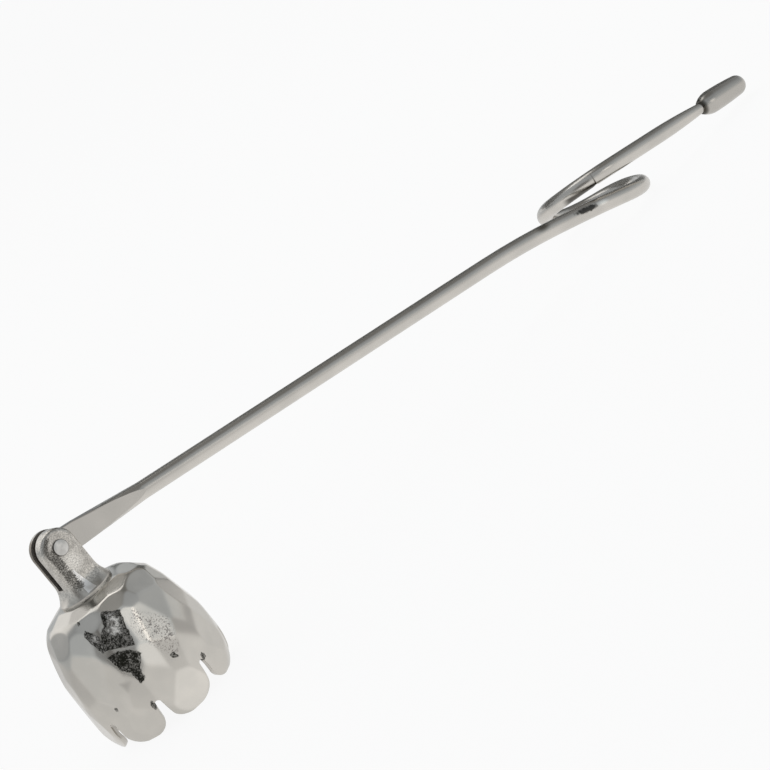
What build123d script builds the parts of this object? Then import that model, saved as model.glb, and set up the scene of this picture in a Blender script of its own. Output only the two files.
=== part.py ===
from build123d import *
import os
from math import asin, atan2, cos, hypot, pi, sin, sqrt

# Candle snuffer: a petalled bell that swings in a rivet on the end of a long round handle.
# It stands as it is put down on a table, on the petal tips and on the turn of its handle.
# Origin: middle of the bell's mouth, on the table. +Z up, +X along the handle, +Y the loop's side.

# Bell, raised from sheet: outer sizes
bell_height = 37.4
bell_wall = 1.6
belly_radius = 20.6
rim_inset = 2.1
belly_low = 9.0
belly_high = 12.5
belly_swell = 2.6

# Petals round the mouth, parted by short flared slots; their rounding overruns the rim by a little
petal_count = 8
first_slot_angle = 12.5
slot_depth = 8.8
slot_width = 1.8
slot_mouth_width = 2.7
petal_tip_height = 4.0
petal_tip_land = 0.4
petal_tip_overrun = 0.15

# Yoke: forged fork with a flared foot, and a tenon peened over inside the bell
foot_radius = 7.8
foot_edge = 0.8
foot_rise = 5.8
foot_flat = 0.15
foot_seat_margin = 0.2
yoke_width = 10.4
yoke_depth = 10.4
front_ear_round = 1.2
back_ear_round = 3.2
pivot_rise = 14.3
fork_slot_width = 2.7
fork_slot_depth = 9.6
tenon_radius = 2.6
tenon_clearance = 0.05
peen_radius = 4.0
peen_thickness = 1.2

# Hinge rivet
rivet_radius = 1.5
rivet_head_radius = 2.15
rivet_head_edge = 0.45
rivet_head_crown = 0.4
rivet_fit = 0.02
hinge_clearance = 0.08

# Handle: round bar with a flattened tang, one open turn for a finger, and a tapered finial
rod_radius = 2.5
tang_radius = 3.6
tang_side_clearance = 0.15
tang_flat_length = 8.0
tang_blend_length = 22.0
bend_start = 161.0
loop_centre = 220.5
loop_radius = 15.6
loop_entry_slope = -0.13
loop_heights = (-4.6, -5.65, -5.85, 1.75, 5.15)
seam_lean = 2.2
seam_notch_radius = 1.2
seam_notch_depth = 0.6

# Finial: tapered stem brazed to the end of the turn, with a bud on its tip
stem_straight_length = 19.5
stem_taper_length = 22.5
stem_tip_radius = 1.6
bud_pin_radius = 1.4
bud_pin_length = 6.0
bud_fit = 0.03
bud_length = 20.3
bud_base_radius = 2.2
bud_swell = 0.5
bud_belly_reach = 5.0
bud_nose_radius = 3.2

os.makedirs("parts", exist_ok=True)

# Sizes that follow from the ones above
rim_radius = belly_radius - rim_inset
seat_radius = foot_radius + foot_seat_margin
shoulder_radius = belly_radius - seat_radius - belly_swell
pivot_height = bell_height + pivot_rise
tang_thickness = fork_slot_width - 2 * tang_side_clearance
tang_end = tang_flat_length + tang_blend_length
loop_reach = loop_centre + loop_radius
stem_straight_end = loop_centre + stem_straight_length
stem_end = stem_straight_end + stem_taper_length
stem_rise = loop_heights[-1]
bud_belly_radius = bud_nose_radius + bud_swell
nose_reach = stem_end + bud_length - bud_nose_radius


def resting_slope(reach, rise, radius):
    """Slope at which a round that far along the handle and above its line touches the table."""
    return asin((pivot_height - radius) / hypot(reach, rise)) + atan2(rise, reach)


# The handle slopes down from the pivot until its turn, or else the bud's nose, rests on the table
handle_slope = min(
    resting_slope(loop_reach, loop_heights[1], rod_radius),
    resting_slope(nose_reach, stem_rise, bud_nose_radius),
)
handle_plane = Plane(
    origin=(0, 0, pivot_height),
    x_dir=(cos(handle_slope), 0, -sin(handle_slope)),
    z_dir=(sin(handle_slope), 0, cos(handle_slope)),
)


def blend_onto(start_radius, rise, end_radius):
    """Radius of an arc that starts square to its radius and runs smoothly into a smaller round."""
    return (start_radius**2 + rise**2 - end_radius**2) / (2 * (start_radius - end_radius))


def meeting_point(big_centre, small_centre, big_radius):
    """Where a big round touches a smaller one inside it."""
    reach = small_centre - big_centre
    return big_centre + reach.normalized() * big_radius


def biarc(start, start_way, end, end_way, lean=1.0):
    """Point and direction where two arcs meet on a smooth run from start to end."""
    span = end - start
    square = 2 * lean * (start_way.dot(end_way) - 1)
    linear = -2 * span.dot(start_way * lean + end_way)
    free = span.dot(span)
    reach_end = (-linear - sqrt(linear**2 - 4 * square * free)) / (2 * square)
    reach_start = lean * reach_end
    near = start + start_way * reach_start
    far = end - end_way * reach_end
    joint = (near * reach_end + far * reach_start) / (reach_start + reach_end)
    return joint, (far - near).normalized()


# Bell: a solid of revolution, hollowed from the mouth, then the petals are parted
upper_rise = bell_height - shoulder_radius - belly_high
upper_radius = blend_onto(belly_radius - seat_radius, upper_rise, shoulder_radius)
upper_centre = Vector(belly_radius - upper_radius, belly_high)
shoulder_centre = Vector(seat_radius, bell_height - shoulder_radius)
shoulder_start = meeting_point(upper_centre, shoulder_centre, upper_radius)
half_pitch = rim_radius * sin(pi / petal_count)
slot_round = slot_width / 2
slot_mouth = slot_mouth_width / 2
petal_reach = half_pitch - petal_tip_land / 2

with BuildPart() as slot_cutter:
    with BuildSketch(Plane.YZ):
        with BuildLine():
            CenterArc((0, slot_depth - slot_round), slot_round, 0, 180)
            for side in (1, -1):
                Line((side * slot_round, slot_depth - slot_round), (side * slot_mouth, petal_tip_height))
                EllipticalCenterArc(
                    (side * petal_reach, petal_tip_height),
                    petal_reach - slot_mouth,
                    petal_tip_height + petal_tip_overrun,
                    start_angle=180 if side > 0 else 270,
                    arc_size=90,
                )
                Line((side * petal_reach, -petal_tip_overrun), (side * petal_reach, -bell_wall))
            Line((petal_reach, -bell_wall), (-petal_reach, -bell_wall))
        make_face()
    extrude(amount=belly_radius + bell_wall)

with BuildPart() as bell:
    with BuildSketch(Plane.XZ):
        with BuildLine():
            TangentArc((belly_radius, belly_low), (rim_radius, 0), tangent=(0, -1))
            Line((belly_radius, belly_low), (belly_radius, belly_high))
            upper = TangentArc((belly_radius, belly_high), shoulder_start, tangent=(0, 1))
            TangentArc(shoulder_start, (seat_radius, bell_height), tangent=upper % 1)
            Polyline((seat_radius, bell_height), (0, bell_height), (0, 0), (rim_radius, 0))
        make_face()
    revolve(axis=Axis.Z)
    offset(amount=-bell_wall, openings=bell.faces().sort_by(Axis.Z)[0])
    Hole(tenon_radius + tenon_clearance)
    for slot in range(petal_count):
        with PolarLocations(0, 1, start_angle=first_slot_angle + 360 * slot / petal_count):
            add(slot_cutter.part, mode=Mode.SUBTRACT)

bell.part.label = "bell"
export_step(bell.part, "parts/bell.step")

# Yoke: a square fork, rounded over, that flares into its round foot, with the tenon and its peened end below
crown_inside = bell_height - bell_wall
flare_top = bell_height + foot_rise
slot_floor = pivot_height - fork_slot_depth
ear_round = yoke_width / 2
ear_rounds = (front_ear_round, back_ear_round)

with BuildPart() as yoke:
    with BuildSketch(Plane.XZ):
        with Locations((0, pivot_height)):
            Circle(ear_round)
        with Locations((0, flare_top)):
            Rectangle(yoke_width, pivot_height - flare_top, align=(Align.CENTER, Align.MIN))
    extrude(amount=yoke_depth / 2, both=True)
    for cheek_face, ear_edge_round in zip(yoke.faces().filter_by(Axis.Y).sort_by(Axis.Y), ear_rounds):
        fillet(cheek_face.edges().sort_by(Axis.Z)[1:], ear_edge_round)
    for share in (0, 0.3, 0.6, 1):
        spread = (1 - share) ** 2
        with BuildSketch(Plane.XY.offset(bell_height + foot_edge + share * (foot_rise - foot_edge))) as flare:
            Rectangle(
                yoke_width + (2 * foot_radius - yoke_width) * spread,
                yoke_depth + (2 * foot_radius - yoke_depth) * spread,
            )
            for end, ear_edge_round in zip((0, -1), ear_rounds):
                corners = flare.vertices().group_by(Axis.Y)[end]
                fillet(corners, ear_edge_round + (foot_radius - foot_flat - ear_edge_round) * spread)
    loft()
    with BuildSketch(Plane.XY.offset(bell_height)):
        RectangleRounded(2 * foot_radius, 2 * foot_radius, foot_radius - foot_flat)
    extrude(amount=foot_edge)
    with BuildSketch(Plane.XZ):
        with BuildLine():
            peen = TangentArc(
                (peen_radius, crown_inside),
                (tenon_radius, crown_inside - peen_thickness),
                tangent=(0, -1),
            )
            Polyline(
                peen @ 0,
                (tenon_radius, crown_inside),
                (tenon_radius, bell_height + foot_edge),
                (0, bell_height + foot_edge),
                (0, crown_inside - peen_thickness),
                peen @ 1,
            )
        make_face()
    revolve(axis=Axis.Z)
    with BuildSketch(Plane.YZ):
        with Locations((0, slot_floor)):
            Rectangle(fork_slot_width, fork_slot_depth + yoke_width, align=(Align.CENTER, Align.MIN))
    extrude(amount=yoke_width, both=True, mode=Mode.SUBTRACT)
    with BuildSketch(Plane.XZ):
        with Locations((0, pivot_height)):
            Circle(rivet_radius + rivet_fit)
    extrude(amount=yoke_depth, both=True, mode=Mode.SUBTRACT)

yoke.part.label = "yoke"
export_step(yoke.part, "parts/yoke.step")

# Hinge rivet: a plain pin with a low crowned head on the outside of each ear
rivet_axis = Axis((0, 0, pivot_height), (0, 1, 0))
head_seat = yoke_depth / 2
head_rim = head_seat + rivet_head_edge
head_top = head_rim + rivet_head_crown

with BuildPart() as hinge_rivet:
    with BuildSketch(Plane.XY.offset(pivot_height)):
        with BuildLine():
            Line((0, -head_top), (0, head_top))
            for side in (1, -1):
                TangentArc((0, side * head_top), (rivet_head_radius, side * head_rim), tangent=(1, 0))
                Polyline(
                    (rivet_head_radius, side * head_rim),
                    (rivet_head_radius, side * head_seat),
                    (rivet_radius, side * head_seat),
                )
            Line((rivet_radius, -head_seat), (rivet_radius, head_seat))
        make_face()
    revolve(axis=rivet_axis)

hinge_rivet.part.label = "hinge_rivet"
export_step(hinge_rivet.part, "parts/hinge_rivet.step")

# The handle's pieces are drawn with the pivot at the origin and the bar along X, then laid on its slope.
# The turn is level where it rests on the table and where it runs into the stem.
quarter_run = loop_radius * pi / 2
loop_nodes = []
for quarter, height in enumerate(loop_heights):
    angle = quarter * pi / 2
    place = Vector(loop_centre + loop_radius * sin(angle), loop_radius * (1 - cos(angle)), height)
    if quarter == 0:
        climb = loop_entry_slope
    elif quarter in (1, len(loop_heights) - 1):
        climb = 0
    else:
        climb = (loop_heights[quarter + 1] - loop_heights[quarter - 1]) / (2 * quarter_run)
    way = Vector(cos(angle), sin(angle), climb).normalized()
    loop_nodes.append((place, way))

bar_end = Vector(bend_start, 0, 0)
bar_way = Vector(1, 0, 0)
seam, seam_way = biarc(*loop_nodes[-2], *loop_nodes[-1], lean=seam_lean)
notch = seam - Vector(0, 0, rod_radius + seam_notch_radius - seam_notch_depth)
notch_plane = Plane(origin=notch, x_dir=(1, 0, 0), z_dir=(0, 1, 0))
cheek = tang_thickness / 2
clear = 2 * tang_radius
cheek_side = [
    (-clear, cheek),
    (tang_flat_length, cheek),
    (tang_end, rod_radius),
    (tang_end, clear),
    (bend_start, clear),
]

with BuildPart() as handle_rod:
    with BuildSketch(Plane.XZ):
        with BuildLine():
            Line((-tang_radius, 0), (bend_start, 0))
            CenterArc((0, 0), tang_radius, 90, 90)
            Polyline(
                (0, tang_radius),
                (tang_flat_length, tang_radius),
                (tang_end, rod_radius),
                (bend_start, rod_radius),
                (bend_start, 0),
            )
        make_face()
    revolve(axis=Axis.X)
    with BuildSketch(Plane.XY):
        with BuildLine():
            Polyline(*cheek_side, *[(x, -y) for x, y in reversed(cheek_side)], close=True)
        make_face()
    extrude(amount=clear, both=True, mode=Mode.INTERSECT)
    with BuildLine() as bar_path:
        route = [(bar_end, bar_way)] + loop_nodes[:-1]
        for (start, start_way), (end, end_way) in zip(route, route[1:]):
            joint, joint_way = biarc(start, start_way, end, end_way)
            TangentArc(start, joint, tangent=start_way)
            TangentArc(joint, end, tangent=joint_way)
        TangentArc(loop_nodes[-2][0], seam, tangent=loop_nodes[-2][1])
    with BuildSketch(Plane(origin=bar_end, z_dir=bar_way)):
        Circle(rod_radius)
    sweep(path=bar_path.wire())
    with Locations(notch_plane):
        Cylinder(seam_notch_radius, 4 * rod_radius, mode=Mode.SUBTRACT)
    with BuildSketch(Plane.XZ):
        Circle(rivet_radius + hinge_clearance)
    extrude(amount=clear, both=True, mode=Mode.SUBTRACT)

handle_rod.part = handle_rod.part.moved(handle_plane.location)
handle_rod.part.label = "handle_rod"
export_step(handle_rod.part, "parts/handle_rod.step")

# Finial stem: takes over the turn at the brazed seam, then tapers to a pin in the bud
stem_start, stem_way = loop_nodes[-1]
stem_axis = Axis(stem_start, stem_way)

with BuildPart() as finial_stem:
    with BuildLine() as turn_path:
        TangentArc(seam, stem_start, tangent=seam_way)
    with BuildSketch(Plane(origin=seam, z_dir=seam_way)):
        Circle(rod_radius)
    sweep(path=turn_path.wire())
    with Locations(notch_plane):
        Cylinder(seam_notch_radius, 4 * rod_radius, mode=Mode.SUBTRACT)
    with BuildSketch(Plane.XZ):
        with BuildLine():
            taper = TangentArc(
                (stem_straight_end, stem_rise + rod_radius),
                (stem_end, stem_rise + stem_tip_radius),
                tangent=(1, 0),
            )
            Polyline(
                taper @ 0,
                (stem_start.X, stem_rise + rod_radius),
                (stem_start.X, stem_rise),
                (stem_end + bud_pin_length, stem_rise),
                (stem_end + bud_pin_length, stem_rise + bud_pin_radius),
                (stem_end, stem_rise + bud_pin_radius),
                taper @ 1,
            )
        make_face()
    revolve(axis=stem_axis)

finial_stem.part = finial_stem.part.moved(handle_plane.location)
finial_stem.part.label = "finial_stem"
export_step(finial_stem.part, "parts/finial_stem.step")

# Finial bud: turned barrel with a round nose, soldered on the stem's pin
nose_rise = bud_length - bud_nose_radius - bud_belly_reach
barrel_radius = blend_onto(bud_belly_radius, nose_rise, bud_nose_radius)
barrel_centre = Vector(bud_belly_reach, bud_belly_radius - barrel_radius)
nose_centre = Vector(bud_length - bud_nose_radius, 0)
nose_start = meeting_point(barrel_centre, nose_centre, barrel_radius)
bud_plane = Plane(origin=(stem_end, 0, stem_rise), x_dir=(1, 0, 0), z_dir=(0, -1, 0))

with BuildPart() as finial_bud:
    with BuildSketch(bud_plane):
        with BuildLine():
            TangentArc((bud_belly_reach, bud_belly_radius), (0, bud_base_radius), tangent=(-1, 0))
            barrel = TangentArc((bud_belly_reach, bud_belly_radius), nose_start, tangent=(1, 0))
            TangentArc(nose_start, (bud_length, 0), tangent=barrel % 1)
            Polyline(
                (bud_length, 0),
                (bud_pin_length, 0),
                (bud_pin_length, bud_pin_radius + bud_fit),
                (0, bud_pin_radius + bud_fit),
                (0, bud_base_radius),
            )
        make_face()
    revolve(axis=stem_axis)

finial_bud.part = finial_bud.part.moved(handle_plane.location)
finial_bud.part.label = "finial_bud"
export_step(finial_bud.part, "parts/finial_bud.step")
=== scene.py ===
import math

import bpy
import numpy as np
from mathutils import Matrix, Vector


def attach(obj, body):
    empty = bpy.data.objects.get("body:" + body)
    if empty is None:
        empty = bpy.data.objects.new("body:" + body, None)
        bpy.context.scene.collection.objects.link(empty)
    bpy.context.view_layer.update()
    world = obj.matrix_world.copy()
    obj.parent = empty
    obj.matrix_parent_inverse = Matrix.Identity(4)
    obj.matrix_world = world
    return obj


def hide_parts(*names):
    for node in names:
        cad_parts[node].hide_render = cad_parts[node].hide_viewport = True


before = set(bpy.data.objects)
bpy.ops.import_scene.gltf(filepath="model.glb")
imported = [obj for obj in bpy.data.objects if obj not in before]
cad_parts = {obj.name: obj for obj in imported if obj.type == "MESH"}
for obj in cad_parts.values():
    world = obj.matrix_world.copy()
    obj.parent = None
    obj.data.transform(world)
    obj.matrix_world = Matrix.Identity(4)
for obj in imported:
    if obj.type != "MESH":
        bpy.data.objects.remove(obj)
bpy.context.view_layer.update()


# Bell
# The cup that smothers the flame: sheet metal raised over a stake and planished with the hammer into
# broad flat facets, plated bright, and parted round the mouth into petals by short filed slots.
mm = 0.001
tenon_hole = 2.65
seat_radius = 8.0
crown_rings = (tenon_hole, 5.0, 7.0)
crown_height = 37.4
wall = 1.6
shoulder = {"r": 8.0, "z": 27.4, "radius": 10.0}
shoulder_foot = 30.79
flank = {"r": -33.39, "z": 12.5, "radius": 53.99}
mouth = {"r": 0.26, "z": 9.0, "radius": 20.34}
belly_top = 12.5
petal_count = 8
first_slot = math.radians(12.5)
slot_round = 0.9
slot_shoulder = 7.9
slot_mouth = 1.35
petal_shoulder = 4.0
petal_reach = 6.88
petal_round = (5.53, 4.15)
half_pitch = 7.08
rim_round = 0.3
rim_turns = np.radians((30, 60, 90))
half_columns = 32
steps_per_bend = 60


def wall_radius(z):
    """Outer radius of the bell's lower half at each height."""
    below = np.minimum(z - mouth["z"], 0.0)
    return mouth["r"] + np.sqrt(mouth["radius"] ** 2 - below**2)


def petal_outline():
    """Half an outline from a slot's middle to a petal's middle: places, and the way out of the metal."""
    turn = np.linspace(0.0, 1.0, steps_per_bend)
    bend = turn * math.pi / 2
    slot_end = np.stack([slot_round * np.sin(bend), slot_shoulder + slot_round * np.cos(bend)], 1)
    slot_side = np.stack(
        [
            slot_round + (slot_mouth - slot_round) * turn,
            slot_shoulder + (petal_shoulder - slot_shoulder) * turn,
        ],
        1,
    )
    swing = turn * math.asin(petal_shoulder / petal_round[1])
    petal_side = np.stack(
        [
            petal_reach - petal_round[0] * np.cos(swing),
            petal_shoulder - petal_round[1] * np.sin(swing),
        ],
        1,
    )
    tip = np.array([[half_pitch, 0.0]])
    line = np.concatenate([slot_end, slot_side[1:], petal_side[1:], tip])
    run = np.concatenate([[0.0], np.cumsum(np.linalg.norm(np.diff(line, axis=0), axis=1))])
    even = np.linspace(0.0, run[-1], half_columns + 1)
    places = np.stack([np.interp(even, run, line[:, axis]) for axis in (0, 1)], 1)
    along = np.gradient(places, axis=0)
    along[[0, -1]] = (1.0, 0.0)
    along /= np.linalg.norm(along, axis=1, keepdims=True)
    return places, np.stack([along[:, 1], -along[:, 0]], 1)


def all_round(half):
    """Repeats half an outline of lateral places round the bell, as angles from +X."""
    pitch = 2 * math.pi / petal_count
    rings = []
    for petal in range(petal_count):
        start = first_slot + petal * pitch
        rings.append(start + half[:-1])
        rings.append(start + pitch - half[:0:-1])
    return np.concatenate(rings)


def all_round_same(half):
    """Repeats half an outline of heights round the bell."""
    return np.concatenate([half[:-1], half[:0:-1]] * petal_count)


outline, outline_way = petal_outline()
top_angles = all_round(np.linspace(0.0, math.pi / petal_count, half_columns + 1))


def ring_on(angles, radius, z, lean_r, lean_z, depth):
    """One ring of the bell: places on the outer surface, the way out of it, and the depth below it."""
    ones = np.ones_like(angles)
    places = np.stack([radius * np.cos(angles), radius * np.sin(angles), z * ones], 1)
    out = np.stack([lean_r * np.cos(angles), lean_r * np.sin(angles), lean_z * ones], 1)
    return places, out, depth * ones


def arc_rings(arc, start, end, count, depth):
    """Rings round one arc of the bell's section, from one lean to the next."""
    rings = []
    for lean in np.linspace(start, end, count):
        radius = arc["r"] + arc["radius"] * math.cos(lean)
        z = arc["z"] + arc["radius"] * math.sin(lean)
        rings.append(ring_on(top_angles, radius, z, math.cos(lean), math.sin(lean), depth))
    return rings


def petal_ring(share, inset, depth):
    """A ring between the belly and the petals' outline, which is drawn in by the inset."""
    edge = outline + outline_way * inset
    edge_angle = np.arcsin(edge[:, 0] / wall_radius(edge[:, 1]))
    angles = top_angles + share * (all_round(edge_angle) - top_angles)
    z = belly_top + share * (all_round_same(edge[:, 1]) - belly_top)
    radius = wall_radius(z)
    lean_z = np.minimum(z - mouth["z"], 0.0) / mouth["radius"]
    return ring_on(angles, radius, z, np.sqrt(1 - lean_z**2), lean_z, depth)


def bell_half(depth, shoulder_rows, flank_rows, petal_rows):
    """Rings of the outside or the inside of the bell, from the tenon hole to the petals."""
    meet = math.atan2(shoulder["z"] - flank["z"], shoulder["r"] - flank["r"])
    rings = [ring_on(top_angles, radius, crown_height, 0.0, 1.0, depth) for radius in crown_rings]
    rings += arc_rings(shoulder, math.pi / 2, meet, shoulder_rows, depth)
    rings += arc_rings(flank, meet, 0.0, flank_rows, depth)[1:]
    rings += [petal_ring(share, -rim_round, depth) for share in np.linspace(0.0, 1.0, petal_rows)[1:]]
    return rings


outer_rings = bell_half(0.0, shoulder_rows=44, flank_rows=60, petal_rows=36)
inner_rings = bell_half(wall, shoulder_rows=14, flank_rows=20, petal_rows=14)
rim_rings = []
for turn in rim_turns:
    inset = rim_round * (math.sin(turn) - 1)
    rim_rings.append(petal_ring(1.0, inset, rim_round * (1 - math.cos(turn))))
for turn in rim_turns[::-1]:
    inset = rim_round * (math.sin(turn) - 1)
    rim_rings.append(petal_ring(1.0, inset, wall - rim_round * (1 - math.cos(turn))))
rings = outer_rings + rim_rings + inner_rings[::-1]
places, ways, depths = (np.stack([ring[part] for ring in rings]) for part in range(3))

# Hammer blows on the front: the angle and height of each flat, its half width, how far it leans up,
# and the tone of its plate, a painted reflection that makes each flat brighter or darker
blows = [
    (-171, 36.8, 4.2, 0, 0.9),
    (-137, 36.8, 4.0, 0, 0.6),
    (-104, 36.8, 3.0, 0, 1.0),
    (-78, 36.7, 4.2, 0, 1.3),
    (-34, 36.5, 4.2, 0, 1.5),
    (-173, 32.8, 5.8, 0, 0.78),
    (-146, 31.2, 4.8, 0, 1.25),
    (-131, 34.2, 3.8, 0, 1.1),
    (-99, 34.5, 4.2, 0, 1.45),
    (-62, 33.8, 6.0, -6, 1.25),
    (-84, 32.4, 3.9, 0, 1.1),
    (-69, 28.5, 5.4, 0, 0.92),
    (-62, 23.3, 4.6, 0, 1.07),
    (-58, 18.8, 4.2, 0, 0.6),
    (-71, 17.0, 4.0, 0, 0.64),
    (-99, 27.6, 4.6, 0, 1.4),
    (-86, 24.2, 5.4, 0, 1.15),
    (-91, 17.2, 4.6, 0, 0.96),
    (-113, 28.8, 5.2, 0, 1.0),
    (-133, 30.0, 3.2, 0, 1.0),
    (-118, 21.0, 4.4, 0, 1.0),
    (-105, 18.5, 4.2, 0, 1.5),
    (-111, 12.8, 4.8, 0, 0.98),
    (-153, 24.8, 6.0, -4, 1.1),
    (-164, 19.5, 5.0, 0, 0.86),
    (-144, 17.3, 5.6, 0, 0.98),
    (-131, 12.0, 4.4, 0, 0.87),
    (-161, 10.3, 5.4, 0, 0.9),
    (-138, 6.0, 5.6, 0, 0.94),
    (-98, 5.3, 6.3, 0, 1.16),
    (-64, 5.3, 5.6, 0, 0.93),
    (-52, 10.8, 5.2, 0, 0.85),
    (-76, 12.3, 4.8, 0, 0.97),
    (-41, 17.0, 4.6, 0, 0.8),
    (-46, 25.0, 5.0, 0, 0.85),
    (-38, 31.2, 4.6, 0, 1.0),
    (-20, 34.6, 3.8, 0, 1.3),
    (-20, 31.0, 4.8, 0, 1.3),
    (-22, 24.0, 5.0, 0, 1.2),
]

# Blows of the same kind on the rest of the bell: the height of each row and how many go round
back_rows = ((36.2, 9), (31.4, 11), (25.4, 12), (19.2, 13), (12.8, 13), (6.0, 12))
front_start, front_end = -178, -14
rng = np.random.default_rng(7)
for row_height, count in back_rows:
    for step in range(count):
        angle = -180 + 360 * (step + rng.uniform(0.25, 0.75)) / count
        if angle > front_end or angle < front_start:
            half_width = rng.uniform(4.0, 5.8)
            blow_height = row_height + rng.uniform(-1.6, 1.6)
            blows.append((angle, blow_height, half_width, 0, rng.uniform(0.75, 1.05)))


def flat_of(angle, height):
    """Place and lean of the turned surface under one hammer blow, and the blow's angle in radians."""
    turn = math.radians(angle)
    if height > shoulder_foot:
        lean = math.asin(min(1.0, (height - shoulder["z"]) / shoulder["radius"]))
        arc = shoulder
    elif height > flank["z"]:
        lean = math.asin((height - flank["z"]) / flank["radius"])
        arc = flank
    else:
        lean = math.asin(min(0.0, height - mouth["z"]) / mouth["radius"])
        arc = mouth
    radius = arc["r"] + arc["radius"] * math.cos(lean)
    place = np.array([radius * math.cos(turn), radius * math.sin(turn), height])
    return place, lean, turn


flattened_radius = 25.0
steepest = 0.3
no_cut = -9.0
edge_softness = 0.045
deepest_dent = 1.1
foot_fade = 1.2
plain_tip = 0.2
tip_fade = 2.5
inside_lag = 0.4
tone_softness = 0.05
unstruck_tone = 0.9
cuts = np.zeros((len(blows) + 1,) + depths.shape)
for number, (angle, blow_height, half_width, tilt, _) in enumerate(blows):
    place, lean, turn = flat_of(angle, blow_height)
    lean += math.radians(tilt)
    facing = np.array([math.cos(lean) * math.cos(turn), math.cos(lean) * math.sin(turn), math.sin(lean)])
    bite = half_width**2 / (2 * flattened_radius)
    square_on = ways @ facing
    cut = ((places - place) @ facing + bite) / np.maximum(square_on, steepest)
    cuts[number + 1] = np.where(square_on > steepest, cut, no_cut)
peak = cuts.max(axis=0)
dent = peak + edge_softness * np.log(np.exp((cuts - peak) / edge_softness).sum(axis=0))
dent = np.clip(dent, 0.0, deepest_dent)
skin_height = places[..., 2]
skin_reach = np.hypot(places[..., 0], places[..., 1])
foot_clear = np.clip((skin_reach - seat_radius) / foot_fade, 0.0, 1.0)
tip_clear = np.clip((skin_height - plain_tip) / tip_fade, 0.0, 1.0)
dent = dent * foot_clear * tip_clear
inner_skin = np.clip(depths / wall, 0.0, 1.0)
sunk = depths + dent * (1 - inside_lag * inner_skin)
bell_places = (places - ways * sunk[..., None]).reshape(-1, 3) * mm
# Each point takes the tone of its flat: a painted reflection, brighter or darker, on the front flats,
# and a tone at random on the rest
share = np.exp((cuts - peak) / tone_softness)
tones_and_painted_light = np.tensordot([unstruck_tone] + [tone_and_painted_light for *_, tone_and_painted_light in blows], share, 1) / share.sum(axis=0)

# Marks on the front: the corners of each patch, as angle and height
skin_angle = np.degrees(np.arctan2(places[..., 1], places[..., 0]))
mm_per_degree = 0.33
patch_edge = 1.1


def patch(*corners):
    """1 on a patch of the bell's skin and 0 off it, soft across its edge."""
    across = skin_angle * mm_per_degree
    nearest = np.full(depths.shape, np.inf)
    crossings = np.zeros(depths.shape, int)
    for (angle, low), (next_angle, high) in zip(corners, corners[1:] + corners[:1]):
        start, run, rise = angle * mm_per_degree, (next_angle - angle) * mm_per_degree, high - low
        beside, above = across - start, skin_height - low
        along = np.clip((beside * run + above * rise) / (run**2 + rise**2), 0.0, 1.0)
        nearest = np.minimum(nearest, np.hypot(beside - along * run, above - along * rise))
        passes = (low > skin_height) != (high > skin_height)
        crossings += passes & (across < start + above / (rise or 1.0) * run)
    signed = np.where(crossings % 2 == 1, nearest, -nearest)
    return np.clip(0.5 + signed / patch_edge, 0.0, 1.0)


# Black speckled patches on the front, worn lighter and mottled in the middle
upper_dark_patch = patch(
    (-113, 34.8), (-99, 32.3), (-103, 29.8), (-107, 25.8), (-108, 23.3), (-114, 24.4),
    (-123, 25.9), (-132, 26.8), (-127, 30.0), (-119, 32.0), (-116, 34.0),
)
side_dark_patch = patch((-139, 32.3), (-136, 33.3), (-131, 32.3), (-127, 30.0), (-132, 26.5), (-135, 28.8))
lower_dark_patch = patch(
    (-132, 25.3), (-123, 25.0), (-114, 23.5), (-109, 21.0), (-117, 18.3), (-119, 14.8),
    (-123, 15.0), (-124, 18.5), (-129, 21.0), (-130, 23.5),
)
spots = [
    patch((-94, 15.8), (-90, 15.6), (-90, 13.8), (-93, 14.2)),
    patch((-127.6, 9.8), (-124.6, 9.4), (-124.6, 7.4), (-127, 7.2)),
    patch((-75.6, 9.8), (-72.2, 9.8), (-72, 8.2), (-75.2, 8.0)),
    patch((-153.4, 13.2), (-150.4, 12.9), (-150.8, 11.8), (-153.2, 12.0)),
    patch((-141.5, 35.9), (-137.5, 35.6), (-138, 34.9), (-141, 35.0)),
]
dark_patched_skin = np.maximum.reduce([upper_dark_patch, side_dark_patch, lower_dark_patch, *spots])
worn_middle = patch((-112, 33.2), (-104, 32.4), (-106, 30.2), (-111, 28.2), (-118, 28.6), (-119, 30.4))
worn_side = patch((-132, 31.6), (-129, 30.6), (-131, 29.2), (-135, 29.8))
worn_skin = np.maximum(worn_middle, 0.7 * worn_side) - 0.4 * lower_dark_patch

# A painted highlight along a strip of the crown, a patch of painted shade on a flat, a pitted flat, and
# grime round the yoke's foot
crown_highlight_tone = 1.6
crown_highlight = patch((-56, 37.6), (-60, 36.5), (-86, 36.5), (-110, 36.2), (-114, 37.6))
tones_and_painted_light = tones_and_painted_light + crown_highlight * (crown_highlight_tone - tones_and_painted_light)
# Painted shade: a dark patch along the lower edge of one flat
painted_shade_tone = 0.72
painted_shade_patch = patch((-136, 17.7), (-131, 17.4), (-128, 16.8), (-134.5, 15.0))
tones_and_painted_light = tones_and_painted_light + painted_shade_patch * (painted_shade_tone - tones_and_painted_light)
pitted_skin = patch(
    (-92, 30.5), (-83.5, 26.7), (-75, 23.0), (-81, 17.4), (-85.5, 15.4), (-91.5, 14.2), (-96.5, 18.2),
    (-101.5, 23.8), (-101, 27.5),
)
grime_reach = 8.7
grime_fade = 0.6
grime_angle = -108
grime_spread = 30
grime_ring = np.clip((grime_reach - skin_reach) / grime_fade, 0.0, 1.0)
grime_ring = grime_ring * np.clip(1.2 - np.abs(skin_angle - grime_angle) / grime_spread, 0.3, 1.0)

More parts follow.
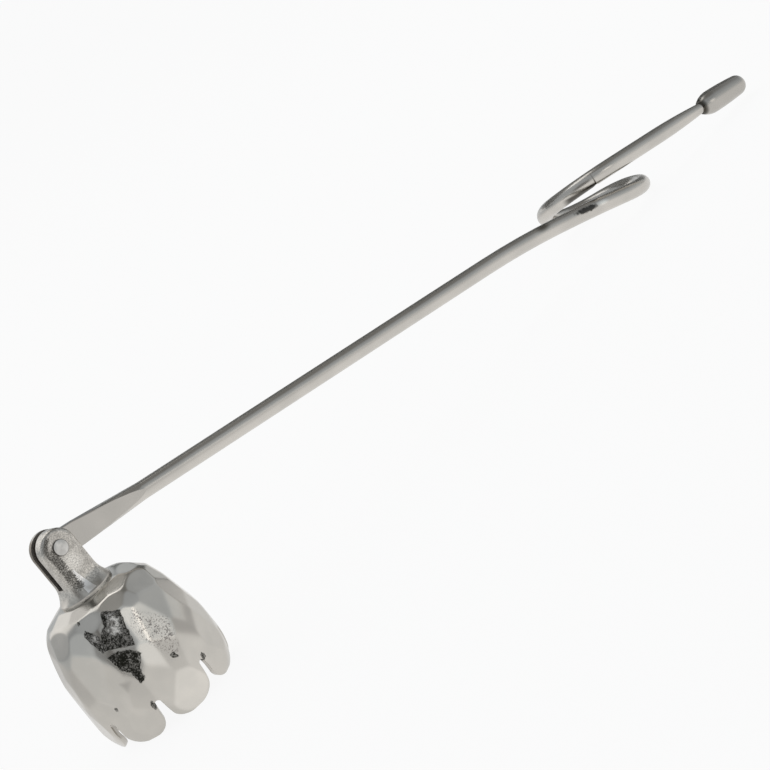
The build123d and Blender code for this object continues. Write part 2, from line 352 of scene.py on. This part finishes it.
rows, columns = depths.shape
grid = np.arange(rows * columns).reshape(rows, columns)
quads = np.stack(
    [
        grid,
        np.roll(grid, -1, axis=0),
        np.roll(np.roll(grid, -1, axis=0), -1, axis=1),
        np.roll(grid, -1, axis=1),
    ],
    axis=-1,
).reshape(-1, 4)
bell_mesh = bpy.data.meshes.new("hammered_bell")
bell_mesh.from_pydata(bell_places.tolist(), [], quads.tolist())
bell_mesh.polygons.foreach_set("use_smooth", [True] * len(bell_mesh.polygons))
skin_marks = {
    "tone_and_painted_light": tones_and_painted_light,
    "dark_patch": dark_patched_skin,
    "worn": worn_skin,
    "pitted": pitted_skin,
    "foot_ring": grime_ring,
    "inside": inner_skin,
}
for name, values in skin_marks.items():
    attribute = bell_mesh.attributes.new(name, "FLOAT", "POINT")
    attribute.data.foreach_set("value", values.astype(np.float32).ravel())
bell = bpy.data.objects.new("hammered_bell", bell_mesh)
bpy.context.scene.collection.objects.link(bell)


class Finish:
    """One socket of a finish's nodes. Arithmetic on it adds Math nodes; add() makes any other node."""

    def __init__(self, tree, socket=None):
        self.tree = tree
        self.socket = socket

    def add(self, kind, settings, sockets, output=0):
        """A new node: its settings first, then its sockets' values or links. Gives one output back."""
        node = self.tree.nodes.new(kind)
        for name, value in settings.items():
            setattr(node, name, value)
        for name, value in sockets.items():
            if isinstance(value, Finish):
                self.tree.links.new(value.socket, node.inputs[name])
            else:
                node.inputs[name].default_value = value
        return Finish(self.tree, node.outputs[output]) if node.outputs else None

    def maths(self, operation, *values):
        return self.add("ShaderNodeMath", {"operation": operation}, dict(enumerate(values)))

    def mix(self, factor, a, b):
        return self.add("ShaderNodeMix", {"data_type": "RGBA"}, {0: factor, 6: a, 7: b}, output=2)

    def noise(self, place, per_mm, detail=2.0, rough=0.5):
        sockets = {"Vector": place, "Scale": per_mm, "Detail": detail, "Roughness": rough}
        return self.add("ShaderNodeTexNoise", {}, sockets)

    def bump(self, strength, depth, height):
        """The way out of a surface with this relief, whose depth is in millimetres."""
        sockets = {"Strength": strength, "Distance": depth * mm, "Height": height}
        return self.add("ShaderNodeBump", {}, sockets)

    def mark(self, name):
        """A mark kept on the mesh's points."""
        return self.add("ShaderNodeAttribute", {"attribute_name": name}, {}, output="Fac")

    def axes(self):
        """The three numbers of a place."""
        return [self.add("ShaderNodeSeparateXYZ", {}, {"Vector": self}, output=axis) for axis in "XYZ"]

    def times(self, factor):
        """A colour or a place multiplied by a number."""
        return self.add("ShaderNodeVectorMath", {"operation": "SCALE"}, {0: self, "Scale": factor})

    def larger(self, other):
        return self.maths("MAXIMUM", self, other)

    def absolute(self):
        return self.maths("ABSOLUTE", self)

    def hypot(self, other):
        return self.maths("SQRT", self * self + other * other)

    def rise(self, low, high):
        """0 below low, 1 above high, smooth between."""
        settings = {"interpolation_type": "SMOOTHSTEP"}
        return self.add("ShaderNodeMapRange", settings, {0: self, 1: low, 2: high})

    def fall(self, low, high):
        """1 below low, 0 above high, smooth between."""
        return 1 - self.rise(low, high)

    def between(self, start, full, fade, end):
        """0 before start and after end, 1 from full to fade."""
        return self.rise(start, full) * self.fall(fade, end)

    def __add__(self, other):
        return self.maths("ADD", self, other)

    def __sub__(self, other):
        return self.maths("SUBTRACT", self, other)

    def __rsub__(self, other):
        return self.maths("SUBTRACT", other, self)

    def __mul__(self, other):
        return self.maths("MULTIPLY", self, other)

    __radd__ = __add__
    __rmul__ = __mul__


def new_finish(name):
    """A metal finish: its material, its shader, its nodes, and places on the piece in millimetres."""
    material = bpy.data.materials.new(name)
    material.use_nodes = True
    shader = material.node_tree.nodes["Principled BSDF"]
    shader.inputs["Metallic"].default_value = 1.0
    nodes = Finish(material.node_tree)
    place = nodes.add("ShaderNodeTexCoord", {}, {}, output="Object").times(1 / mm)
    return material, shader, nodes, place


def feed(shader, socket, value):
    """Links a finish's socket to its shader."""
    shader.id_data.links.new(value.socket, shader.inputs[socket])


dull_plate = (0.59, 0.565, 0.52, 1)
bright_plate = (0.64, 0.61, 0.56, 1)
inside_plate = (0.42, 0.40, 0.37, 1)
pit_bottom = (0.26, 0.24, 0.225, 1)
patch_black = (0.022, 0.022, 0.017, 1)
patch_grey = (0.42, 0.40, 0.37, 1)
bare_metal = (0.95, 0.92, 0.87, 1)
seat_dirt = (0.06, 0.052, 0.04, 1)
hammered, shader, nodes, place = new_finish("hammered_plate")
tone_and_painted_light, dark_patch, worn, pitted, foot_ring, inside = (nodes.mark(name) for name in skin_marks)
cloud = nodes.noise(place, 0.14)
grain = nodes.noise(place, 2.6, rough=0.6)
blotch = nodes.noise(place, 0.7)
# The plate's colour is multiplied by the painted reflection and tone of each flat
plate = nodes.mix(cloud.rise(0.35, 0.7), dull_plate, bright_plate).times(tone_and_painted_light)
plate = nodes.mix(inside * 0.45, plate, inside_plate)
pits = pitted * (grain + 0.4 * blotch).rise(0.7, 0.86)
plate = nodes.mix(pits, plate, pit_bottom)
ragged = (dark_patch + 1.3 * blotch - 0.65).rise(0.38, 0.6)
lighter = (0.65 * grain + 0.35 * blotch + 0.12 * worn).rise(0.42, 0.68)
bared = nodes.mix(worn * blotch.rise(0.38, 0.56), patch_grey, bare_metal)
plate = nodes.mix(ragged, plate, nodes.mix(lighter, patch_black, bared))
seat_grime = (foot_ring + 1.2 * blotch - 0.6).rise(0.5, 0.8)
feed(shader, "Base Color", nodes.mix(seat_grime * 0.9, plate, seat_dirt))
feed(shader, "Roughness", 0.15 + 0.1 * cloud + 0.3 * ragged + 0.2 * inside)
relief = grain * (0.12 + ragged + 0.5 * pitted)
feed(shader, "Normal", nodes.bump(0.25, 0.12, relief))
bell_mesh.materials.append(hammered)
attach(bell, "bell")
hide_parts("bell")


# Yoke
# The fork that carries the bell: a rough little casting with a flared foot, plated with the rest, with a
# painted highlight low on its front, a near-black fork, and old grime in the hollows of the skin.
pivot_height = 51.7
cast_dark = (0.50, 0.475, 0.435, 1)
cast_light = (0.64, 0.61, 0.56, 1)
rubbed_plate = (0.86, 0.825, 0.765, 1)
highlight_white = (0.95, 0.93, 0.90, 1)
thin_soil = (0.30, 0.285, 0.26, 1)
thick_soil = (0.03, 0.027, 0.022, 1)
far_ear_brown = (0.17, 0.14, 0.105, 1)
fork_dark = (0.045, 0.028, 0.016, 1)

# Where each mark starts and is full, and where it fades and ends, across and up
fork_wall = (1.30, 1.42)
fork_floor = (41.9, 42.2)
dirty_side = (-2.6, 1.4)
hollow_middle = (0.2, pivot_height)
hollow_ring = (3.3, 3.9, 4.6, 5.0)
hollow_up = (49.0, 52.0)
band_across = (-5.2, -4.0, -2.4, 0.0)
band_up = (39.4, 40.8, 52.0, 55.0)
head_ring = (2.0, 2.1, 2.35, 2.5)
foot_edge = (37.7, 38.1)
foot_right = (1.0, 4.0)
rub_middle = (0.1, 46.8)
rub_round = (1.0, 4.0)
grainy_up = (38.5, 41.0)
highlight_middle = -1.3
highlight_top = 45.4
highlight_edge = 0.25
highlight_up = (38.2, 38.8, 45.0, 45.6)
far_ear_inside = (1.2, 1.6)
far_ear_up = (42.0, 46.0)
far_ear_left = (-3.0, -1.2)

cast, shader, nodes, place = new_finish("cast_plate")
skin = nodes.noise(place, 0.42, detail=4.0, rough=0.6)
grain = nodes.noise(place, 3.4, detail=1.0)
speck = nodes.noise(place, 2.7, detail=1.0)
x, y, z = place.axes()
metal = nodes.mix(skin.rise(0.35, 0.65), cast_dark, cast_light)
rubbed = (x - rub_middle[0]).hypot(z - rub_middle[1]).fall(*rub_round)
metal = nodes.mix(rubbed * 0.8, metal, rubbed_plate)
metal = metal.times(1 + 1.5 * (speck - 0.5) * z.rise(*grainy_up))

# A painted highlight: a narrow white wedge low on the front, ragged at its edge
highlight_half = highlight_edge + 0.18 * (highlight_top - z)
highlight_wedge = ((x - highlight_middle).absolute() - highlight_half).fall(-highlight_edge, highlight_edge)
highlight_wedge = highlight_wedge * z.between(*highlight_up)
highlight_wedge = (highlight_wedge + 1.4 * skin - 0.7).rise(0.45, 0.65)
metal = nodes.mix(highlight_wedge, metal, highlight_white)

off_middle = (x - hollow_middle[0]).hypot(z - hollow_middle[1])
left = x.fall(*dirty_side)
hollow = off_middle.between(*hollow_ring) * left * z.rise(*hollow_up)
band = x.between(*band_across) * z.between(*band_up)
crevice = off_middle.between(*head_ring) * (0.35 + 0.65 * left)
foot_seam = z.fall(*foot_edge) * (0.34 + 0.2 * x.rise(*foot_right))
dirt = (0.86 * hollow).larger(0.7 * band).larger(0.8 * crevice).larger(foot_seam)
fleck = (dirt + 1.2 * grain + 0.9 * skin - 1.05).rise(0.4, 0.72)
soil = nodes.mix(speck.rise(0.38, 0.62), thin_soil, thick_soil)
metal = nodes.mix(fleck * 0.9, metal, soil)

# The upper left of the far ear is coloured dark brown
far_ear = y.rise(*far_ear_inside) * z.rise(*far_ear_up) * x.fall(*far_ear_left)
metal = nodes.mix(far_ear * 0.9, metal, far_ear_brown)
# Inside the fork the casting is coloured near black, dull and hardly metallic
in_fork = y.absolute().fall(*fork_wall) * z.rise(*fork_floor)
feed(shader, "Base Color", nodes.mix(in_fork, metal, fork_dark))
feed(shader, "Metallic", 1 - 0.9 * in_fork)
feed(shader, "Roughness", 0.24 + 0.16 * skin + 0.25 * fleck + 0.3 * in_fork)
feed(shader, "Normal", nodes.bump(0.4, 0.3, skin + 0.25 * grain))
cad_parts["yoke"].material_slots[0].material = cast


# Hinge rivet
# A plain steel pin closed over both cheeks of the yoke, its heads filed nearly flat, with a dark line
# where each head meets the casting.
steel_dull = (0.60, 0.585, 0.555, 1)
steel_bright = (0.72, 0.705, 0.675, 1)
head_line_dark = (0.06, 0.052, 0.045, 1)
head_edge = (1.95, 2.12)
filed, shader, nodes, place = new_finish("filed_rivet")
x, _, z = place.axes()
marks = nodes.noise(place, 0.9, detail=3.0)
steel = nodes.mix(marks.rise(0.35, 0.7), steel_dull, steel_bright)
# A dark line round the edge of each head
joint_dark_line = x.hypot(z - pivot_height).rise(*head_edge)
feed(shader, "Base Color", nodes.mix(joint_dark_line * 0.85, steel, head_line_dark))
feed(shader, "Roughness", 0.28 + 0.15 * marks)
feed(shader, "Normal", nodes.bump(0.2, 0.1, marks))
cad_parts["hinge_rivet"].material_slots[0].material = filed


# Handle rod
# Round bar, hammered flat at the hinge end and bent once round for a finger, then plated. Smooth and
# faintly clouded, with painted dark reflection on the tang's upper edge, a stain on the turn, grime at
# the seam.
handle_slope = 0.18594
seam = (209.97, 2.08, 17.0)
seam_way = (0.8637, -0.5009, -0.0558)
bar_dull = (0.575, 0.55, 0.51, 1)
bar_bright = (0.63, 0.60, 0.555, 1)
tang_reflection_dark = (0.2, 0.187, 0.168, 1)
gleam_white = (1.0, 0.98, 0.92, 1)
stain_black = (0.025, 0.025, 0.022, 1)
under_reflection_dark = (0.05, 0.045, 0.038, 1)
crossing_shadow_dark = (0.12, 0.105, 0.08, 1)
seam_dark = (0.05, 0.042, 0.03, 1)
seam_width = (0.10, 0.30)
seam_reach = (3.5, 4.0)
seam_clean = (3.6, 5.6)


def bright_bar(name):
    """The bar's finish: its material, shader, nodes, places, the plate's colour and its fine cloud."""
    material, shader, nodes, place = new_finish(name)
    cloud = nodes.noise(place, 0.09)
    fine = nodes.noise(place, 0.8, detail=3.0)
    plate = nodes.mix(cloud.rise(0.35, 0.7), bar_dull, bar_bright)
    feed(shader, "Roughness", 0.2 + 0.1 * fine)
    feed(shader, "Normal", nodes.bump(0.02, 0.1, fine))
    return material, shader, nodes, place, plate, fine


def along_handle(place):
    """How far a place is along the handle from the rivet, above the handle's line, and behind it."""
    x, y, z = place.axes()
    drop = z - pivot_height
    slope, level = math.sin(handle_slope), math.cos(handle_slope)
    return x * level - drop * slope, x * slope + drop * level, y


def from_seam(place):
    """How far a place lies past the seam between the two bars, and how far from the seam's middle."""
    away = place.add("ShaderNodeVectorMath", {"operation": "SUBTRACT"}, {0: place, 1: seam})
    sockets = {0: away, 1: seam_way}
    past = place.add("ShaderNodeVectorMath", {"operation": "DOT_PRODUCT"}, sockets, output="Value")
    off = place.add("ShaderNodeVectorMath", {"operation": "LENGTH"}, {0: away}, output="Value")
    return past, off


def seam_grime(past, off, above):
    """1 on the line where the two bars are brazed together, fainter on its upper side."""
    line = past.absolute().fall(*seam_width) * off.fall(*seam_reach)
    return line * (1 - 0.7 * above.rise(*seam_clean))


def smudge(along, above, middle, half_length, half_height, droop=0.0):
    """1 in the middle of a long oval on the bar's side, drooping along the handle, 0 at its edge."""
    far = along - middle[0]
    high = above - middle[1] + droop * far
    return (far * (1 / half_length)).hypot(high * (1 / half_height)).fall(0.1, 1.0)


bar, shader, nodes, place, plate, fine = bright_bar("bright_bar")
along, above, behind = along_handle(place)
past, off = from_seam(place)

# The tang's upper edge comes down towards the round bar; a dark reflection is painted along it and fades
# out on the way
edge_height = 3.42
edge_soft = 0.35
narrowing = 0.09 * (along - 7.5).larger(0.0)
tang_painted_reflection = (above + narrowing - edge_height).rise(-edge_soft, 0.0) * along.fall(12.0, 20.0)
plate = nodes.mix(tang_painted_reflection * 0.75, plate, tang_reflection_dark)

# On the front of the turn a stain and a painted gleam beside it, and a painted shadow where the bar
# crosses behind
front = behind.fall(-1.6, -1.2)
gleam = smudge(along, above, middle=(208.8, -2.4), half_length=3.4, half_height=1.1, droop=0.12) * front
smear = smudge(along, above, middle=(202.4, -1.7), half_length=7.6, half_height=1.5, droop=0.11) * front
stain = (smear + 1.3 * fine - 0.65).rise(0.2, 0.8) * smear.rise(0.0, 0.1)
crossing_shadow = smudge(along, above, middle=(185.0, 0.9), half_length=4.0, half_height=1.6)
crossing_shadow = crossing_shadow * behind.fall(-0.8, 0.4)

# A painted dark reflection on the underside of the far side of the turn, up to the seam
underside = (above - 0.1 * past).fall(3.2, 4.0)
far_side = above.rise(0.6, 1.4).larger(behind.rise(2.7, 3.2)) * (behind + 0.5 * past).rise(-1.4, -0.6)
under_reflection = underside * far_side * past.between(-12.0, -9.0, 0.0, 0.1) * off.fall(11.0, 13.0)

plate = nodes.mix(gleam * 0.9, plate, gleam_white)
plate = nodes.mix(stain * 0.92, plate, stain_black)
plate = nodes.mix(under_reflection * 0.9, plate, under_reflection_dark)
plate = nodes.mix(crossing_shadow * 0.8, plate, crossing_shadow_dark)
feed(shader, "Base Color", nodes.mix(seam_grime(past, off, above) * 0.9, plate, seam_dark))
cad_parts["handle_rod"].material_slots[0].material = bar


# Finial stem
# The end of the handle: a piece of the same bar brazed on at the seam, drawn out thin towards the bud,
# and plated with the rest.
stem_plate, shader, nodes, place, plate, _ = bright_bar("stem_plate")
_, above, _ = along_handle(place)
line = seam_grime(*from_seam(place), above)
feed(shader, "Base Color", nodes.mix(line * 0.9, plate, seam_dark))
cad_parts["finial_stem"].material_slots[0].material = stem_plate


# Finial bud
# A small turned knob soldered on the stem's tip, a little duller than the bar, with grime in the joint
# at its foot.
bud_base = 262.5
bud_tone = 0.86
joint_grime = (0.06, 0.055, 0.045, 1)
bud_plate, shader, nodes, place, plate, _ = bright_bar("bud_plate")
along, _, _ = along_handle(place)
joint_dark_line = along.fall(bud_base + 0.1, bud_base + 1.2)
feed(shader, "Base Color", nodes.mix(joint_dark_line * 0.85, plate.times(bud_tone), joint_grime))
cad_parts["finial_bud"].material_slots[0].material = bud_plate


# Studio
# A white table that mirrors darker away from the snuffer, a dim room with soft light behind and on the
# right and its dark behind the camera, and a dark card behind the handle that only the metal sees.
table_half = 8.0
table_drop = 0.05 * mm
white = (1.0, 1.0, 1.0, 1)
table_matt = (0.9, 0.9, 0.9, 1)
table_far = (0.74, 0.74, 0.74, 1)
table_glow = 0.92
pool_middle = 110.0
pool_squeeze = 0.4
pool_edge = (10.0, 170.0)
floor_mesh = bpy.data.meshes.new("white_table")
floor_corners = [(x * table_half, y * table_half, 0.0) for x, y in ((-1, -1), (1, -1), (1, 1), (-1, 1))]
floor_mesh.from_pydata(floor_corners, [], [(0, 1, 2, 3)])
floor = bpy.data.objects.new("white_table", floor_mesh)
floor.location.z = -table_drop
bpy.context.scene.collection.objects.link(floor)


def ray(nodes, kind):
    """1 for rays of one kind, such as the camera's own, and 0 for the rest."""
    return nodes.add("ShaderNodeLightPath", {}, {}, output=f"Is {kind} Ray")


white_table = bpy.data.materials.new("white_table")
white_table.use_nodes = True
white_table.node_tree.nodes.clear()
nodes = Finish(white_table.node_tree)
x, y, _ = nodes.add("ShaderNodeTexCoord", {}, {}, output="Object").times(1 / mm).axes()
away = (pool_squeeze * (x - pool_middle)).hypot(y)
pool = nodes.mix(away.rise(*pool_edge), white, table_far)
pool = nodes.mix(ray(nodes, "Camera"), pool, white)
seen = sum(ray(nodes, kind) for kind in ("Camera", "Glossy", "Transmission"))
matt = nodes.add("ShaderNodeBsdfDiffuse", {}, {"Color": table_matt})
glow = nodes.add("ShaderNodeEmission", {}, {"Color": pool, "Strength": 1.0})
surface = nodes.add("ShaderNodeMixShader", {}, {0: seen * table_glow, 1: matt, 2: glow})
nodes.add("ShaderNodeOutputMaterial", {}, {"Surface": surface})
floor_mesh.materials.append(white_table)

card_grey = (0.3, 0.3, 0.29, 1)
card_behind = 110.0
card_outline = [
    (60, 46), (300, 40), (300, 10), (600, 10), (600, 300), (116, 300), (104, 100), (130, 86), (132, 62),
    (108, 60), (104, 74), (60, 74),
]
card_corners = [(x * mm, card_behind * mm, z * mm) for x, z in card_outline]
flag_mesh = bpy.data.meshes.new("black_flag")
flag_mesh.from_pydata(card_corners, [], [range(len(card_corners))])
flag = bpy.data.objects.new("black_flag", flag_mesh)
bpy.context.scene.collection.objects.link(flag)
flag.visible_camera = False
flag.visible_shadow = False
flag.visible_diffuse = False
flag_cloth = bpy.data.materials.new("black_flag")
flag_cloth.use_nodes = True
shader = flag_cloth.node_tree.nodes["Principled BSDF"]
shader.inputs["Base Color"].default_value = card_grey
shader.inputs["Roughness"].default_value = 1.0
flag_mesh.materials.append(flag_cloth)

room = bpy.data.worlds.new("studio_room")
room.use_nodes = True
room.node_tree.nodes.clear()
nodes = Finish(room.node_tree)
way = nodes.add("ShaderNodeTexCoord", {}, {}, output="Generated")


def panel(bearing, height, outer, inner):
    """1 inside a round panel of soft light or dark seen in that direction, 0 outside it."""
    turn, climb = math.radians(bearing), math.radians(height)
    centre = (math.cos(turn) * math.cos(climb), math.sin(turn) * math.cos(climb), math.sin(climb))
    sockets = {0: way, 1: centre}
    facing = nodes.add("ShaderNodeVectorMath", {"operation": "DOT_PRODUCT"}, sockets, output="Value")
    return facing.rise(math.cos(math.radians(outer)), math.cos(math.radians(inner)))


# Each panel in degrees: its bearing and height in the room, its outer edge and where it is full. Then
# its light
panels = [
    (98, 36, 32, 20, (1.15, 1.15, 1.15, 1)),
    (0, 62, 40, 22, (0.22, 0.22, 0.215, 1)),
    (-76, 7, 15, 8, (1.3, 1.28, 1.25, 1)),
    (-138, 14, 24, 14, (0.2, 0.2, 0.2, 1)),
]
room_low = (0.63, 0.66, 0.68, 1)
room_high = (0.42, 0.445, 0.47, 1)
_, _, climb = way.axes()
light = nodes.mix(climb.rise(0.0, 0.5), room_low, room_high)
for bearing, height, outer, inner, colour in panels:
    light = nodes.mix(panel(bearing, height, outer, inner), light, colour)
light = nodes.mix(ray(nodes, "Camera"), light, white)
background = nodes.add("ShaderNodeBackground", {}, {"Color": light, "Strength": 1.0})
nodes.add("ShaderNodeOutputWorld", {}, {"Surface": background})
bpy.context.scene.world = room

lit_place = Vector((0.1, 0.0, 0.0))
softbox = bpy.data.lights.new("overhead_softbox", "AREA")
softbox.shape = "DISK"
softbox.size = 0.9
softbox.energy = 2.0
lamp = bpy.data.objects.new("overhead_softbox", softbox)
lamp.location = (0.25, 0.35, 1.1)
lamp.rotation_euler = (lit_place - lamp.location).to_track_quat("-Z", "Y").to_euler()
bpy.context.scene.collection.objects.link(lamp)


# Camera
# A long lens at the photograph's angle: from the bell's left, a little above the table, rolled so that
# the handle climbs across the picture.
azimuth, elevation, roll = (math.radians(angle) for angle in (-30.08, 14.93, -37.14))
target = Vector((0.1076, 0.0, 0.0187))
distance = 0.6737
back = Vector(
    (
        math.sin(azimuth) * math.cos(elevation),
        -math.cos(azimuth) * math.cos(elevation),
        math.sin(elevation),
    )
)
level = Vector((math.cos(azimuth), math.sin(azimuth), 0.0))
upright = back.cross(level)
right = level * math.cos(roll) + upright * math.sin(roll)
up = upright * math.cos(roll) - level * math.sin(roll)
lens = bpy.data.cameras.new("long_lens")
lens.sensor_width = 36.0
lens.lens = 112.2
lens.clip_start = 0.01
camera = bpy.data.objects.new("long_lens", lens)
stance = Matrix((right, up, back)).transposed().to_4x4()
camera.matrix_world = Matrix.Translation(target + back * distance) @ stance
bpy.context.scene.collection.objects.link(camera)
bpy.context.scene.camera = camera
bpy.context.scene.view_settings.view_transform = "Standard"
